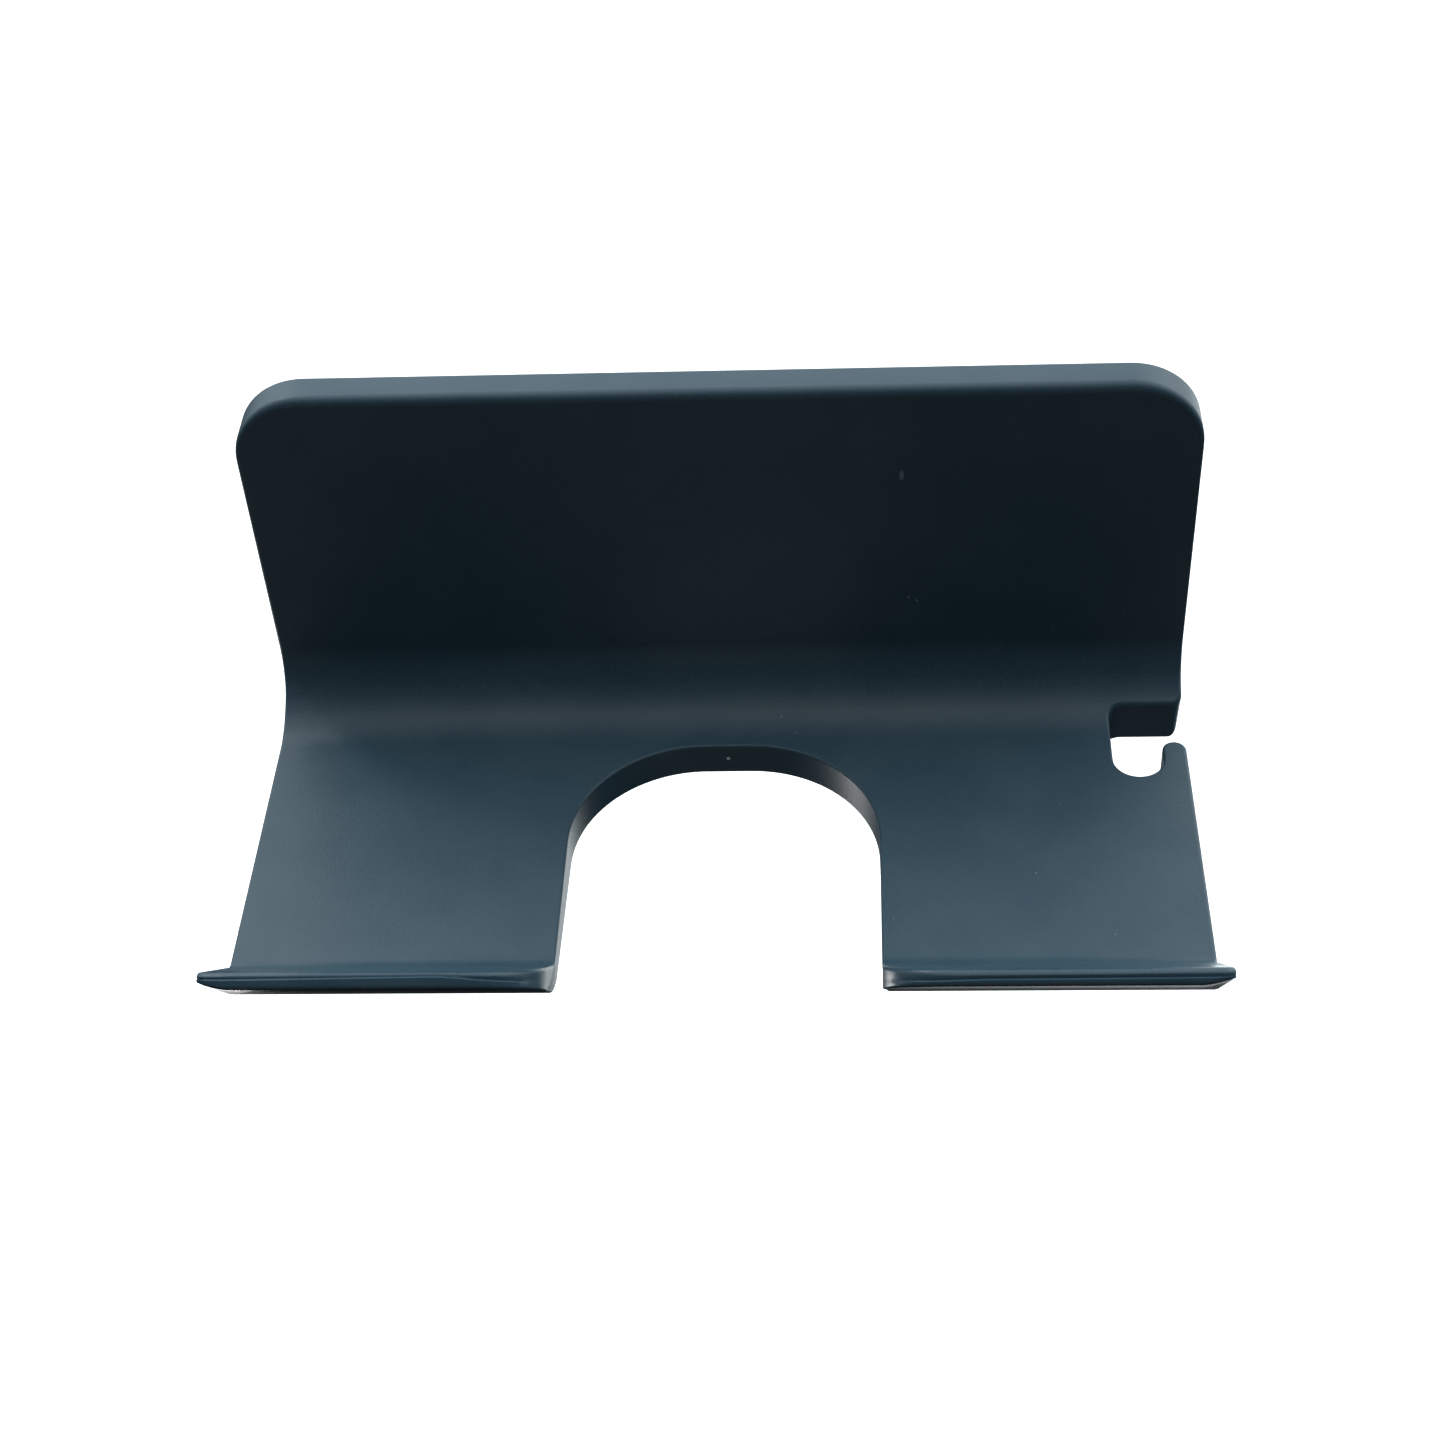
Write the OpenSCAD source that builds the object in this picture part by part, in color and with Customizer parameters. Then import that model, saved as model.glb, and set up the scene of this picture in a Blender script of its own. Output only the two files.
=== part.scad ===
// Hair dryer holder: a wall bracket moulded in one piece, stuck to the wall with strips of foam tape.
// The dryer's nozzle end hangs in the U-shaped cut-out and its cord is hooked into the slot at one side.
// +Y points into the wall, +Z up, and the origin is at the centre of the face that sticks to the wall.

/* [Back plate] */
// Width of the plate, of the shelf and over both lips
holder_w = 160; // [150:1:200]
// Rise of the back plate above the shelf's top face
plate_rise = 66.8; // [60:0.1:90]
// Thickness of the back plate
plate_t = 6.7; // [5:0.1:9]
// Radius of the plate's two top corners
corner_r = 12.5; // [6:0.1:20]
// Rounding of the plate's top front edge
front_edge_r = 2; // [0.5:0.1:2.4]
// Rounding of the plate's top rear edge
rear_edge_r = 0.5; // [0.3:0.1:2.4]

/* [Shelf] */
// Thickness of the shelf
shelf_t = 6.5; // [5:0.1:9]
// Reach of the shelf, from the plate's front face to where the bend under the lips starts
shelf_reach = 61.7; // [56:0.1:90]
// Radius of the hollow bend between plate and shelf
bend_r = 12.5; // [6:0.1:16]

/* [Dryer cut-out] */
// Width of the U-shaped cut-out
cutout_w = 53; // [49:0.1:64]
// Material left between the cut-out's apex and the plate's front face
cutout_back = 13.3; // [12:0.1:20]
// Radius of the two quarter arcs that make the cut-out's round end
cutout_r = 22.6; // [18:0.1:24.4]

/* [Lips] */
// Slope of the lips above the horizontal
lip_slope = 49.5; // [40:0.1:65]
// Length of a lip along its slope, from the middle of its root to the middle of its rim
lip_len = 22.2; // [14:0.1:26]
// Thickness of a lip at its root
lip_root_t = 4.6; // [3.4:0.1:5]
// Thickness of a lip at its rim
lip_rim_t = 2.8; // [2:0.1:3.2]
// Radius of the bend under the lips
under_bend_r = 5; // [4:0.1:6]
// Radius of the small hollow at the foot of a lip
foot_r = 3; // [1:0.1:5]
// Radius of each lip's top corner at the holder's side
lip_side_r = 1.2; // [1:0.1:7]
// Radius of each lip's top corner beside the cut-out
lip_inner_r = 12; // [4:0.1:13]

/* [Cord slot] */
// Width of the pocket that the cord hangs in
pocket_w = 8.7; // [6:0.1:12]
// Distance from the plate's front face to the pocket's rear wall
pocket_back = 5.8; // [5:0.1:9]
// Distance from the plate's front face to the pocket's round front end
pocket_front = 21.6; // [21:0.1:30]
// Width of the finger that keeps the cord in the pocket
finger_w = 4.2; // [4.2:0.1:7]
// Clear width of the mouth through which the cord goes in
mouth_w = 7.4; // [5:0.1:8]
// Radius of the pocket's two rear corners
pocket_corner_r = 2.2; // [0.5:0.1:3]
// Rounding of the finger's tip and of the plate's corner behind the mouth
tip_r = 2; // [1:0.1:2.1]

/* [Fixing tape] */
// Width of a strip of foam tape
tape_w = 34; // [20:0.5:40]
// Height of a strip of foam tape
tape_h = 54; // [30:0.5:56]
// Thickness of the foam tape
tape_t = 1.1; // [0.8:0.1:2]
// Distance between the centres of neighbouring strips
tape_pitch = 50; // [44:0.5:52]
// Depth of the moulded recess that places each strip
recess_depth = 0.5; // [0.2:0.1:0.6]
// Gap between a strip's edge and the wall of its recess
recess_gap = 0.3; // [0.1:0.1:0.6]
// Radius of a strip's corners
tape_corner_r = 3; // [1:0.1:6]

/* [Hidden] */
$fn = 96;
// How far a cutter reaches past the face that it cuts
margin = 1;
// How far outside a lip its corner arcs start, so that they cross its crest and its end face cleanly
arc_clear = 0.1;
// Room that a cutter needs to pass right through the part
far = 120;
plastic = "#36454f";
foam = "#e9e7e1";
// The plate's back face stands off the wall by the tape that shows out of its recess
stand_off = tape_t - recess_depth;
plate_mid = (plate_rise - shelf_t) / 2;

// Lip section: a bar that tapers from its root to its rim
root_r = lip_root_t / 2;
rim_r = lip_rim_t / 2;
taper = asin((root_r - rim_r) / lip_len);
inner_slope = lip_slope - taper;
outer_slope = lip_slope + taper;
up_slope = [-cos(lip_slope), sin(lip_slope)];
off_slope = [sin(lip_slope), cos(lip_slope)];
// Centre of the bend under the lips, in the section plane
under_bend = [-shelf_reach, under_bend_r - shelf_t];
// The lip's outer face is tangent to that bend
outer_foot = under_bend + under_bend_r * [-sin(outer_slope), -cos(outer_slope)];
root = outer_foot - root_r * [-sin(outer_slope), -cos(outer_slope)];
rim = root + lip_len * up_slope;
inner_foot = root + root_r * [sin(inner_slope), cos(inner_slope)];
// The rim is rounded over in three flats
rim_flat = rim_r * tan(22.5);
inner_top = rim + rim_r * [sin(inner_slope), cos(inner_slope)];
outer_top = rim + rim_r * [-sin(outer_slope), -cos(outer_slope)];
// Where the lip's inner face meets the shelf's top face
foot_y = inner_foot[0] + inner_foot[1] / tan(inner_slope);
foot_run = foot_r * tan(inner_slope / 2);
foot_tangent = [foot_y - foot_run * cos(inner_slope), foot_run * sin(inner_slope)];

// Cord slot, seen from above
pocket_right = holder_w / 2 - finger_w;
pocket_left = pocket_right - pocket_w;
pocket_end_r = pocket_w / 2;
finger_tip = pocket_back + mouth_w;

// From the section's own place, with the plate's front face at y = 0 and the shelf's top at z = 0, to the wall frame
module in_wall_frame() {
    translate([0, -stand_off - plate_t, -plate_mid]) children();
}

// What a rounded corner loses; the sharp corner points to +x +y and lies at the origin
module corner_cut(r) {
    difference() {
        translate([-r, -r]) square(r + margin);
        translate([-r, -r]) circle(r);
    }
}

// A rectangle with four round corners
module round_rect(w, h, r) {
    difference() {
        square([w, h], center = true);
        for (flip_x = [0, 1], flip_y = [0, 1]) {
            mirror([flip_x, 0]) mirror([0, flip_y]) translate([w / 2, h / 2]) corner_cut(r);
        }
    }
}

// Section through plate, bend, shelf and lip; x of the drawing is the part's y, y of the drawing is its z
module section() {
    difference() {
        polygon([
            [-shelf_reach, -shelf_t],
            [plate_t, -shelf_t],
            [plate_t, plate_rise],
            [0, plate_rise],
            [0, bend_r],
            [-bend_r, bend_r],
            [-bend_r, 0],
            [foot_y + foot_run, 0],
            [foot_y + foot_run, foot_r],
            foot_tangent,
            inner_top + rim_flat * up_slope,
            rim + rim_r * up_slope + rim_flat * off_slope,
            rim + rim_r * up_slope - rim_flat * off_slope,
            outer_top + rim_flat * up_slope,
            outer_foot,
            under_bend
        ]);
        // hollow bend between plate and shelf
        translate([-bend_r, bend_r]) circle(bend_r);
        // small hollow at the foot of the lip
        translate([foot_y + foot_run, foot_r]) circle(foot_r);
        // edges along the top of the plate
        translate([plate_t, plate_rise]) corner_cut(rear_edge_r);
        translate([0, plate_rise]) mirror([1, 0]) corner_cut(front_edge_r);
    }
    // bend under the lip
    intersection() {
        translate(under_bend) circle(under_bend_r);
        translate([-shelf_reach - under_bend_r - margin, -shelf_t - margin]) {
            square([under_bend_r + margin + 0.5, under_bend_r + margin - 0.5]);
        }
    }
}

// The cut-out seen from above: two quarter arcs with a short flat between them, open at the front
module cutout_outline() {
    half_flat = cutout_w / 2 - cutout_r;
    arc_y = -cutout_back - cutout_r;
    for (side = [-1, 1]) {
        translate([side * half_flat, arc_y]) circle(cutout_r);
    }
    translate([-half_flat, arc_y]) square([2 * half_flat, cutout_r]);
    translate([-cutout_w / 2, arc_y - far]) square([cutout_w, far]);
}

// Cuts the round top corners of the lips, square to the lips' own slope
module lip_corner_cuts() {
    crest = lip_len + rim_r + arc_clear;
    for (side = [0, 1]) {
        mirror([side, 0, 0]) translate([0, root[0], root[1]]) rotate([90 - lip_slope, 0, 0]) {
            rotate([90, 0, 0]) linear_extrude(4 * lip_root_t, center = true) {
                translate([holder_w / 2 + arc_clear, crest]) corner_cut(lip_side_r);
                translate([cutout_w / 2 - arc_clear, crest]) mirror([1, 0]) corner_cut(lip_inner_r);
            }
        }
    }
}

// The cord slot seen from above: a pocket with a round front end, and a mouth through the holder's side
module slot_outline() {
    difference() {
        translate([pocket_left, -pocket_front + pocket_end_r]) {
            square([pocket_w, pocket_front - pocket_end_r - pocket_back]);
        }
        translate([pocket_left, -pocket_back]) mirror([1, 0]) corner_cut(pocket_corner_r);
    }
    translate([pocket_left + pocket_end_r, -pocket_front + pocket_end_r]) circle(pocket_end_r);
    translate([pocket_right - margin, -finger_tip]) square([finger_w + 2 * margin, mouth_w]);
    // rounded tip of the finger
    translate([pocket_right, -finger_tip]) mirror([1, 0]) corner_cut(tip_r);
    translate([holder_w / 2, -finger_tip]) corner_cut(tip_r);
    // rounded corner behind the mouth
    translate([holder_w / 2, -pocket_back]) mirror([0, 1]) corner_cut(tip_r);
}

module tape_outline(grow) {
    round_rect(tape_w + 2 * grow, tape_h + 2 * grow, tape_corner_r + grow);
}

// The one-piece moulding
module holder_body() {
    color(plastic) difference() {
        in_wall_frame() difference() {
            rotate([90, 0, 90]) linear_extrude(holder_w, center = true) section();
            // round top corners of the plate
            for (side = [0, 1]) {
                mirror([side, 0, 0]) translate([holder_w / 2, 0, plate_rise]) rotate([90, 0, 0]) {
                    linear_extrude(far, center = true) corner_cut(corner_r);
                }
            }
            translate([0, 0, -far / 2]) linear_extrude(far) cutout_outline();
            translate([0, 0, -far / 2]) linear_extrude(far) slot_outline();
            lip_corner_cuts();
        }
        // recesses that place the strips of tape
        for (place = [-1, 0, 1]) {
            translate([place * tape_pitch, margin - stand_off, 0]) rotate([90, 0, 0]) {
                linear_extrude(recess_depth + margin) tape_outline(recess_gap);
            }
        }
    }
}

module tape(place) {
    color(foam) translate([place * tape_pitch, 0, 0]) rotate([90, 0, 0]) {
        linear_extrude(tape_t) tape_outline(0);
    }
}

module left_tape() {
    tape(-1);
}

module centre_tape() {
    tape(0);
}

module right_tape() {
    tape(1);
}

holder_body();
left_tape();
centre_tape();
right_tape();
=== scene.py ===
import logging
import math
from dataclasses import dataclass, field
from enum import Enum
from typing import Callable, Iterable

import bmesh
import bpy
from mathutils import Matrix, Vector


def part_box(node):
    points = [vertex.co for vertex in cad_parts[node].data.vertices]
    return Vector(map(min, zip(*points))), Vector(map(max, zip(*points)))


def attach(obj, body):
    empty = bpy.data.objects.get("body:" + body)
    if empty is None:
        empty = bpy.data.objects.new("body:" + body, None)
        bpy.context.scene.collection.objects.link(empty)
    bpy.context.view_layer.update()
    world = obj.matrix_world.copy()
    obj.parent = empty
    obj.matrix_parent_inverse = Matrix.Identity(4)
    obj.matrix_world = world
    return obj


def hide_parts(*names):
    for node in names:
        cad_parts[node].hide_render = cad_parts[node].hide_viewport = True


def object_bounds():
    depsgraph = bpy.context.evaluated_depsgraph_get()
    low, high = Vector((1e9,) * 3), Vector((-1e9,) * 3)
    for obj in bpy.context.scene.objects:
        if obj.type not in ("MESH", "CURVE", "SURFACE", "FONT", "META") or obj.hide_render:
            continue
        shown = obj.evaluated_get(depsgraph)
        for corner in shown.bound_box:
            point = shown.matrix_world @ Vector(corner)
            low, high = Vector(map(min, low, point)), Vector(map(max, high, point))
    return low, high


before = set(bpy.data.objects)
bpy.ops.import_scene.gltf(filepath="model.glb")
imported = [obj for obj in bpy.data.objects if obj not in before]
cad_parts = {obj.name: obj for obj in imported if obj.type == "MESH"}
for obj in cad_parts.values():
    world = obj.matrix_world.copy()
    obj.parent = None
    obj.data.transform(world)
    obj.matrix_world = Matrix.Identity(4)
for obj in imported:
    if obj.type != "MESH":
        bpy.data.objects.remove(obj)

logging.basicConfig(level=logging.INFO, format="%(message)s")
LOG = logging.getLogger("holder")

MM = 0.001
NEAR = 0.01 * MM
BACK = Vector((0, 1, 0))
CAD_LOW, CAD_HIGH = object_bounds()


class Slot(Enum):
    """The record's material slots."""

    PLASTIC = "moulded_plastic"
    FOAM = "foam_tape"


# ---------------------------------------------------------------- mesh work

Test = Callable[[Vector], bool]
EdgeTest = Callable[[Vector, Vector], bool]


def deselect_everything() -> None:
    """Leaves nothing selected, the frame's own nodes included."""
    if bpy.context.object and bpy.context.object.mode != "OBJECT":
        bpy.ops.object.mode_set(mode="OBJECT")
    bpy.ops.object.select_all(action="DESELECT")


def activate(piece: bpy.types.Object) -> None:
    """Makes a piece the only selected object and the active one.

    Args:
        piece: The object to work on.
    """
    deselect_everything()
    piece.select_set(True)
    bpy.context.view_layer.objects.active = piece


def add_block(name: str, low: Vector, high: Vector) -> bpy.types.Object:
    """Adds a cube primitive between two corners, with its place in its mesh.

    Args:
        name: The new object's name.
        low: The block's lowest corner.
        high: The block's highest corner.

    Returns:
        The block, which is the active object.
    """
    deselect_everything()
    bpy.ops.mesh.primitive_cube_add(size=1.0, location=(low + high) / 2)
    block = bpy.context.object
    block.name = name
    block.data.name = name
    block.scale = high - low
    bpy.ops.object.transform_apply(location=True, rotation=True, scale=True)
    return block


class Editing:
    """Edit mode on one piece, with selections made by place."""

    def __init__(self, piece: bpy.types.Object) -> None:
        """Keeps the piece to edit."""
        self.piece = piece

    def __enter__(self) -> "Editing":
        """Opens edit mode with nothing selected."""
        activate(self.piece)
        bpy.ops.object.mode_set(mode="EDIT")
        bpy.ops.mesh.select_mode(type="VERT")
        bpy.ops.mesh.select_all(action="DESELECT")
        return self

    def __exit__(self, *_: object) -> None:
        """Goes back to object mode."""
        bpy.ops.object.mode_set(mode="OBJECT")

    def _choose(self, kind: str, pick: Callable[[bmesh.types.BMesh], list]) -> None:
        """Selects what a function picks out of the mesh, and nothing else.

        Args:
            kind: What is selected: VERT, EDGE or FACE.
            pick: Gives the mesh's chosen parts of that kind.
        """
        bpy.ops.mesh.select_mode(type=kind)
        bpy.ops.mesh.select_all(action="DESELECT")
        mesh = bmesh.from_edit_mesh(self.piece.data)
        for part in pick(mesh):
            part.select_set(True)
        bmesh.update_edit_mesh(self.piece.data)

    def everything(self) -> None:
        """Selects the whole mesh."""
        bpy.ops.mesh.select_mode(type="VERT")
        bpy.ops.mesh.select_all(action="SELECT")

    def points(self, test: Test) -> None:
        """Selects the vertices whose place passes a test, and nothing else.

        Args:
            test: Says of a place whether it is wanted.
        """
        self._choose("VERT", lambda mesh: [v for v in mesh.verts if test(v.co)])

    def edges(self, test: EdgeTest) -> None:
        """Selects the edges whose two ends pass a test, and nothing else.

        Args:
            test: Says of an edge's two ends whether the edge is wanted.
        """
        self._choose("EDGE", lambda mesh: [e for e in mesh.edges if test(e.verts[0].co, e.verts[1].co)])

    def uprights(self, *corners: tuple[float, float]) -> None:
        """Selects the edges that stand upright at some places in plan, and nothing else.

        Args:
            *corners: Each place's x and y.
        """
        self.edges(lambda a, b: any(stands_at(a, b, x, y) for x, y in corners))

    def faces(self, test: Test) -> None:
        """Selects the faces whose centre passes a test, and nothing else.

        Args:
            test: Says of a face's centre whether the face is wanted.
        """
        self._choose("FACE", lambda mesh: [f for f in mesh.faces if test(f.calc_center_median())])

    def round_selected(self, radius: float, segments: int) -> None:
        """Bevels the selected edges to an arc.

        Args:
            radius: The arc's radius at a square corner.
            segments: How many faces the arc has.
        """
        bpy.ops.mesh.bevel(offset=radius, offset_type="OFFSET", segments=segments, profile=0.5,
                           affect="EDGES", clamp_overlap=False)

    def slice_across(self, places: Iterable[float]) -> None:
        """Cuts the whole mesh by planes that face along y.

        Args:
            places: Each plane's y.
        """
        for place in places:
            self.everything()
            bpy.ops.mesh.bisect(plane_co=BACK * place, plane_no=BACK)


def stands_at(a: Vector, b: Vector, x: float, y: float, slack: float = 0.05 * MM) -> bool:
    """Says whether an edge stands upright at a place in plan.

    Args:
        a: One end of the edge.
        b: Its other end.
        x: The place's x.
        y: The place's y.
        slack: How far off the place may be.

    Returns:
        True if both ends are at that place.
    """
    return all(abs(p.x - x) < slack and abs(p.y - y) < slack for p in (a, b))


def runs_back(a: Vector, b: Vector) -> bool:
    """Says whether the edge between two places runs straight along y."""
    return abs(a.x - b.x) < NEAR and abs(a.z - b.z) < NEAR


def apply_modifier(piece: bpy.types.Object, kind: str, **settings: object) -> None:
    """Adds a modifier, sets it and applies it.

    Args:
        piece: The object that gets it.
        kind: Blender's name of the modifier's type.
        **settings: The modifier's own values.
    """
    activate(piece)
    modifier = piece.modifiers.new(kind.lower(), kind)
    for name, value in settings.items():
        setattr(modifier, name, value)
    bpy.ops.object.modifier_apply(modifier=modifier.name)


def cut_away(piece: bpy.types.Object, cutter: bpy.types.Object) -> None:
    """Takes a cutter's space out of a piece and removes the cutter.

    Args:
        piece: The object that is cut.
        cutter: The closed shape that it loses.
    """
    apply_modifier(piece, "BOOLEAN", operation="DIFFERENCE", solver="EXACT", object=cutter)
    bpy.data.objects.remove(cutter)


def smooth_over(piece: bpy.types.Object, limit: float = math.radians(40)) -> None:
    """Shades a piece smooth, with its flat faces kept flat beside their round edges.

    Args:
        piece: The object to shade.
        limit: The angle above which an edge stays sharp.
    """
    activate(piece)
    bpy.ops.object.shade_smooth_by_angle(angle=limit)
    apply_modifier(piece, "WEIGHTED_NORMAL", mode="FACE_AREA", weight=100, keep_sharp=True)


# ---------------------------------------------------------------- the section


@dataclass(frozen=True)
class Section:
    """Side profile of the holder, and the way from its flat blank to its formed shape.

    In the blank, `along` runs over the top surface from the plate's top edge down to the shelf and out to the
    lips' rims, and `share` is the depth under that surface as a share of the local thickness.
    Places in the profile are (y, z), with the plate's front face at y = 0 and the shelf's top face at z = 0.
    """

    plate_rise: float = 66.8 * MM
    plate_thickness: float = 6.7 * MM
    shelf_thickness: float = 6.5 * MM
    shelf_reach: float = 61.7 * MM
    bend_radius: float = 12.5 * MM
    heel_radius: float = 1.6 * MM
    slot_rear: float = 5.8 * MM
    lip_slope: float = math.radians(49.5)
    lip_length: float = 22.2 * MM
    lip_root: float = 4.6 * MM
    lip_rim: float = 2.8 * MM
    under_radius: float = 5.0 * MM
    foot_radius: float = 3.0 * MM

    @property
    def taper(self) -> float:
        """Angle by which each face of the lip leans off its middle plane."""
        return math.asin((self.lip_root - self.lip_rim) / 2 / self.lip_length)

    @property
    def inner_slope(self) -> float:
        """Slope of the lip's inner face."""
        return self.lip_slope - self.taper

    @property
    def outer_slope(self) -> float:
        """Slope of the lip's outer face."""
        return self.lip_slope + self.taper

    @property
    def under_centre(self) -> Vector:
        """Centre of the bend under the lip."""
        return Vector((-self.shelf_reach, self.under_radius - self.shelf_thickness))

    @property
    def outer_foot(self) -> Vector:
        """Place where the bend under the lip runs into the lip's outer face."""
        return self.under_centre - self.under_radius * self._normal(self.outer_slope)

    @property
    def _rim_centre(self) -> Vector:
        """Centre of the lip's rim."""
        root = self.outer_foot + self.lip_root / 2 * self._normal(self.outer_slope)
        return root + self.lip_length * self._up(self.lip_slope)

    @property
    def inner_crest(self) -> Vector:
        """End of the lip's inner face."""
        side = self.lip_rim / 2 * self._normal(self.inner_slope)
        return self._rim_centre + side + self.lip_rim / 2 * self._up(self.inner_slope)

    @property
    def outer_crest(self) -> Vector:
        """End of the lip's outer face."""
        side = self.lip_rim / 2 * self._normal(self.outer_slope)
        return self._rim_centre - side + self.lip_rim / 2 * self._up(self.outer_slope)

    @staticmethod
    def _up(slope: float) -> Vector:
        """Direction up a lip's face of that slope."""
        return Vector((-math.cos(slope), math.sin(slope)))

    @staticmethod
    def _normal(slope: float) -> Vector:
        """Direction square to a lip's face of that slope, towards the plate."""
        return Vector((math.sin(slope), math.cos(slope)))

    @property
    def _foot_place(self) -> float:
        """Distance from the plate at which the lip's inner face, drawn straight on, meets the shelf."""
        crest = self.inner_crest
        return -(crest.x + crest.y / math.tan(self.inner_slope))

    @property
    def foot_start(self) -> float:
        """Distance from the plate at which the small hollow at the lip's foot begins."""
        return self._foot_place - self.foot_radius * math.tan(self.inner_slope / 2)

    @property
    def bend_top(self) -> float:
        """Place along the blank where the plate runs into the hollow bend."""
        return self.plate_rise - self.bend_radius

    @property
    def bend_end(self) -> float:
        """Place along the blank where the hollow bend runs into the shelf."""
        return self.bend_top + self.bend_radius * math.pi / 2

    @property
    def foot_along(self) -> float:
        """Place along the blank where the hollow at the lip's foot begins."""
        return self.bend_end + self.foot_start - self.bend_radius

    @property
    def lip_along(self) -> float:
        """Place along the blank where the lip's inner face begins."""
        return self.foot_along + self.foot_radius * self.inner_slope

    @property
    def lip_foot(self) -> Vector:
        """Lower end of the lip's inner face."""
        centre = Vector((-self.foot_start, self.foot_radius))
        return centre - self.foot_radius * self._normal(self.inner_slope)

    @property
    def length(self) -> float:
        """The blank's whole length."""
        return self.lip_along + (self.inner_crest - self.lip_foot).length

    @property
    def under_along(self) -> float:
        """Place along the blank above the start of the bend under the lip."""
        return self.bend_end + self.shelf_reach - self.bend_radius

    @property
    def slot_along(self) -> float:
        """Place along the blank of the cord slot's rear wall, which stands on the hollow bend."""
        return self.along_of(self.slot_rear)

    def along_of(self, distance: float) -> float:
        """Turns a distance in front of the plate, on the bend or the shelf, into a place along the blank.

        Args:
            distance: Distance from the plate's front face.

        Returns:
            The place along the blank.
        """
        if distance < self.bend_radius:
            turned = math.acos(1 - distance / self.bend_radius)
            return self.bend_top + self.bend_radius * turned
        return self.bend_end + distance - self.bend_radius

    def top(self, along: float) -> Vector:
        """Gives the place of the formed top surface.

        Args:
            along: Place along the blank.

        Returns:
            Its (y, z) in the profile.
        """
        if along <= self.bend_top:
            return Vector((0.0, self.plate_rise - along))
        if along <= self.bend_end:
            turned = (along - self.bend_top) / self.bend_radius
            return Vector((math.cos(turned) - 1, 1 - math.sin(turned))) * self.bend_radius
        if along <= self.foot_along:
            return Vector((-self.bend_radius - (along - self.bend_end), 0.0))
        if along <= self.lip_along:
            turned = (along - self.foot_along) / self.foot_radius
            centre = Vector((-self.foot_start, self.foot_radius))
            return centre - self.foot_radius * self._normal(turned)
        return self.lip_foot + (along - self.lip_along) * self._up(self.inner_slope)

    def _around_heel(self, run: float) -> Vector:
        """Gives a place on the plate's back, its lower rear edge and the shelf's underside.

        Args:
            run: Way from the back face opposite the bend's top, down and round to the underside.

        Returns:
            Its (y, z) in the profile.
        """
        down = self.bend_radius + self.shelf_thickness - self.heel_radius
        arc = self.heel_radius * math.pi / 2
        if run <= down:
            return Vector((self.plate_thickness, self.bend_radius - run))
        if run <= down + arc:
            turned = (run - down) / self.heel_radius
            centre = Vector((self.plate_thickness, -self.shelf_thickness))
            centre += Vector((-self.heel_radius, self.heel_radius))
            return centre + self.heel_radius * Vector((math.cos(turned), -math.sin(turned)))
        rest = run - down - arc
        return Vector((self.plate_thickness - self.heel_radius - rest, -self.shelf_thickness))

    @property
    def _heel_run(self) -> float:
        """Length of the way round the lower rear edge, to the place under the slot's rear wall."""
        down = self.bend_radius + self.shelf_thickness - self.heel_radius
        across = self.plate_thickness - self.heel_radius + self.slot_rear
        return down + self.heel_radius * math.pi / 2 + across

    def _under_lip(self, run: float) -> Vector:
        """Gives a place on the bend under the lip and on the lip's outer face.

        Args:
            run: Way from the start of that bend.

        Returns:
            Its (y, z) in the profile.
        """
        arc = self.under_radius * self.outer_slope
        if run <= arc:
            return self.under_centre - self.under_radius * self._normal(run / self.under_radius)
        return self.outer_foot + (run - arc) * self._up(self.outer_slope)

    @property
    def _under_length(self) -> float:
        """Way from the start of the bend under the lip to the rim."""
        return self.under_radius * self.outer_slope + (self.outer_crest - self.outer_foot).length

    def under(self, along: float) -> Vector:
        """Gives the place of the formed underside, or of the plate's back.

        Args:
            along: Place along the blank.

        Returns:
            Its (y, z) in the profile.
        """
        if along <= self.bend_top:
            return Vector((self.plate_thickness, self.plate_rise - along))
        if along <= self.slot_along:
            share = (along - self.bend_top) / (self.slot_along - self.bend_top)
            return self._around_heel(share * self._heel_run)
        if along <= self.under_along:
            return Vector((self.top(along).x, -self.shelf_thickness))
        lip_run = self._under_length - (self.length - self.lip_along)
        if along <= self.lip_along:
            share = (along - self.under_along) / (self.lip_along - self.under_along)
            return self._under_lip(share * lip_run)
        return self._under_lip(lip_run + along - self.lip_along)

    def thickness(self, along: float) -> float:
        """Gives the flat blank's thickness, which tapers over the lips.

        Args:
            along: Place along the blank.

        Returns:
            The thickness there.
        """
        lip_start = (self.top(self.lip_along) - self.under(self.lip_along)).length
        if along <= self.under_along:
            return self.shelf_thickness
        if along <= self.lip_along:
            share = (along - self.under_along) / (self.lip_along - self.under_along)
            return self.shelf_thickness + share * (lip_start - self.shelf_thickness)
        share = (along - self.lip_along) / (self.length - self.lip_along)
        return lip_start + share * (self.lip_rim - lip_start)

    def form(self, along: float, depth: float) -> Vector:
        """Gives the formed place of a point of the blank.

        Args:
            along: Place along the blank.
            depth: Depth under the blank's top surface.

        Returns:
            Its (y, z) in the profile.
        """
        share = depth / self.thickness(min(along, self.length))
        return self.top(along).lerp(self.under(along), share)

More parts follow.
